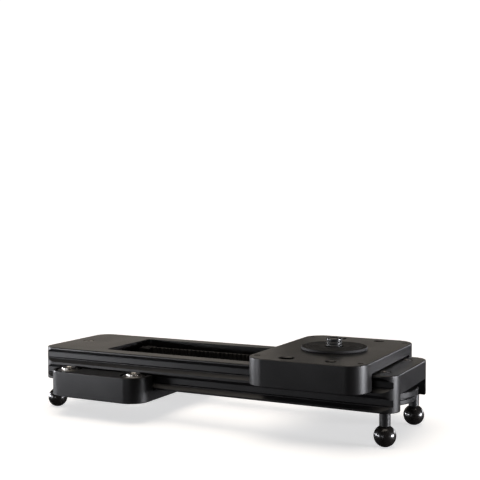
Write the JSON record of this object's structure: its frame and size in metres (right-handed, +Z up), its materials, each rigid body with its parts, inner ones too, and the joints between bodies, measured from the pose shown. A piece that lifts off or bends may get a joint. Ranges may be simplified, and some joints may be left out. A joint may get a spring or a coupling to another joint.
{
  "type": "camera slider",
  "caption": "Short belt-driven camera slider on ball feet, with a carriage above and one below that travel in opposite directions.",
  "frame": {"origin": "middle of the bounding box on the ground plane under the four ball feet", "axes": "+X along the rail towards the flywheel end, -Y the front long side, +Z up"},
  "size_m": [0.2348, 0.0988, 0.0524],
  "materials": {
    "black_anodised": "fine bead-blasted, black anodised, satin",
    "black_anodised_inner": "black anodised, turned or milled",
    "bright_steel": "turned, bright",
    "roller_steel": "ground bearing ring",
    "black_steel": "black oxide",
    "bronze": "sintered bronze",
    "belt_rubber": "moulded, matt",
    "pad_rubber": "fine stippled",
    "gloss_black": "gloss black lacquer"
  },
  "bodies": {
    "rail": {"axle_clip_left": "bright_steel", "axle_clip_right": "bright_steel", "deck_plug": "black_steel", "deck_screw_front": "black_steel", "deck_screw_rear": "black_steel", "drive_belt": "belt_rubber", "foot_ball_left_front": "gloss_black", "foot_ball_left_rear": "gloss_black", "foot_ball_right_front": "gloss_black", "foot_ball_right_rear": "gloss_black", "foot_stud_left_front": "black_steel", "foot_stud_left_rear": "black_steel", "foot_stud_right_front": "black_steel", "foot_stud_right_rear": "black_steel", "pulley_axle_left": "bright_steel", "pulley_axle_right": "bright_steel", "rail_body": "black_anodised"},
    "upper_carriage": {"belt_clamp_upper": "black_anodised_inner", "camera_pad": "pad_rubber", "camera_screw": "black_steel", "carriage_upper": "black_anodised", "clamp_screw_upper_left": "black_steel", "clamp_screw_upper_right": "black_steel", "roller_bolt_upper_left_front": "bright_steel", "roller_bolt_upper_left_rear": "bright_steel", "roller_bolt_upper_right_front": "bright_steel", "roller_bolt_upper_right_rear": "bright_steel", "set_screw_upper_left_front": "black_steel", "set_screw_upper_left_rear": "black_steel", "set_screw_upper_right_front": "black_steel", "set_screw_upper_right_rear": "black_steel"},
    "lower_carriage": {"belt_clamp_lower": "black_anodised_inner", "carriage_lower": "black_anodised", "clamp_screw_lower_left": "black_steel", "clamp_screw_lower_right": "black_steel", "roller_bolt_lower_left_front": "bright_steel", "roller_bolt_lower_left_rear": "bright_steel", "roller_bolt_lower_right_front": "bright_steel", "roller_bolt_lower_right_rear": "bright_steel", "set_screw_lower_left_front": "black_steel", "set_screw_lower_left_rear": "black_steel", "set_screw_lower_right_front": "black_steel", "set_screw_lower_right_rear": "black_steel", "tripod_bush": "bright_steel"},
    "left_pulley": {"pulley_bush_left": "bronze", "pulley_left": "black_anodised_inner"},
    "right_pulley": {"flywheel": "black_steel", "pulley_bush_right": "bronze", "pulley_right": "black_anodised_inner"},
    "lower_roller_left_front": {"roller_lower_left_front": "roller_steel"},
    "lower_roller_left_rear": {"roller_lower_left_rear": "roller_steel"},
    "lower_roller_right_front": {"roller_lower_right_front": "roller_steel"},
    "lower_roller_right_rear": {"roller_lower_right_rear": "roller_steel"},
    "upper_roller_left_front": {"roller_upper_left_front": "roller_steel"},
    "upper_roller_left_rear": {"roller_upper_left_rear": "roller_steel"},
    "upper_roller_right_front": {"roller_upper_right_front": "roller_steel"},
    "upper_roller_right_rear": {"roller_upper_right_rear": "roller_steel"}
  },
  "joints": [
    {"name": "upper_slide", "type": "slide", "parent": "rail", "child": "upper_carriage", "axis": [1, 0, 0], "range_m": [-0.134, 0]},
    {"name": "lower_slide", "type": "slide", "parent": "rail", "child": "lower_carriage", "axis": [1, 0, 0], "range_m": [0, 0.134]},
    {"name": "left_pulley_turn", "type": "hinge", "parent": "rail", "child": "left_pulley", "pos_m": [-0.0955, 0, 0.03], "axis": [0, 0, 1], "continuous": true},
    {"name": "right_pulley_turn", "type": "hinge", "parent": "rail", "child": "right_pulley", "pos_m": [0.0937, 0, 0.03], "axis": [0, 0, 1], "continuous": true},
    {"name": "lower_roller_left_front_turn", "type": "hinge", "parent": "lower_carriage", "child": "lower_roller_left_front", "pos_m": [-0.0913, -0.0392, 0.0241], "axis": [0, 0, 1], "continuous": true},
    {"name": "lower_roller_left_rear_turn", "type": "hinge", "parent": "lower_carriage", "child": "lower_roller_left_rear", "pos_m": [-0.0913, 0.0392, 0.0241], "axis": [0, 0, 1], "continuous": true},
    {"name": "lower_roller_right_front_turn", "type": "hinge", "parent": "lower_carriage", "child": "lower_roller_right_front", "pos_m": [-0.0433, -0.0392, 0.0241], "axis": [0, 0, 1], "continuous": true},
    {"name": "lower_roller_right_rear_turn", "type": "hinge", "parent": "lower_carriage", "child": "lower_roller_right_rear", "pos_m": [-0.0433, 0.0392, 0.0241], "axis": [0, 0, 1], "continuous": true},
    {"name": "upper_roller_left_front_turn", "type": "hinge", "parent": "upper_carriage", "child": "upper_roller_left_front", "pos_m": [0.04495, -0.0392, 0.03365], "axis": [0, 0, 1], "continuous": true},
    {"name": "upper_roller_left_rear_turn", "type": "hinge", "parent": "upper_carriage", "child": "upper_roller_left_rear", "pos_m": [0.04495, 0.0392, 0.03365], "axis": [0, 0, 1], "continuous": true},
    {"name": "upper_roller_right_front_turn", "type": "hinge", "parent": "upper_carriage", "child": "upper_roller_right_front", "pos_m": [0.09295, -0.0392, 0.03365], "axis": [0, 0, 1], "continuous": true},
    {"name": "upper_roller_right_rear_turn", "type": "hinge", "parent": "upper_carriage", "child": "upper_roller_right_rear", "pos_m": [0.09295, 0.0392, 0.03365], "axis": [0, 0, 1], "continuous": true}
  ],
  "couplings": [
    {"joint": "lower_slide", "follows": "upper_slide", "ratio": -1},
    {"joint": "left_pulley_turn", "follows": "upper_slide", "rad_per_m": 58.173},
    {"joint": "right_pulley_turn", "follows": "upper_slide", "rad_per_m": 58.173},
    {"joint": "lower_roller_left_front_turn", "follows": "upper_slide", "rad_per_m": -142.86},
    {"joint": "lower_roller_left_rear_turn", "follows": "upper_slide", "rad_per_m": 142.86},
    {"joint": "lower_roller_right_front_turn", "follows": "upper_slide", "rad_per_m": -142.86},
    {"joint": "lower_roller_right_rear_turn", "follows": "upper_slide", "rad_per_m": 142.86},
    {"joint": "upper_roller_left_front_turn", "follows": "upper_slide", "rad_per_m": 142.86},
    {"joint": "upper_roller_left_rear_turn", "follows": "upper_slide", "rad_per_m": -142.86},
    {"joint": "upper_roller_right_front_turn", "follows": "upper_slide", "rad_per_m": 142.86},
    {"joint": "upper_roller_right_rear_turn", "follows": "upper_slide", "rad_per_m": -142.86}
  ]
}
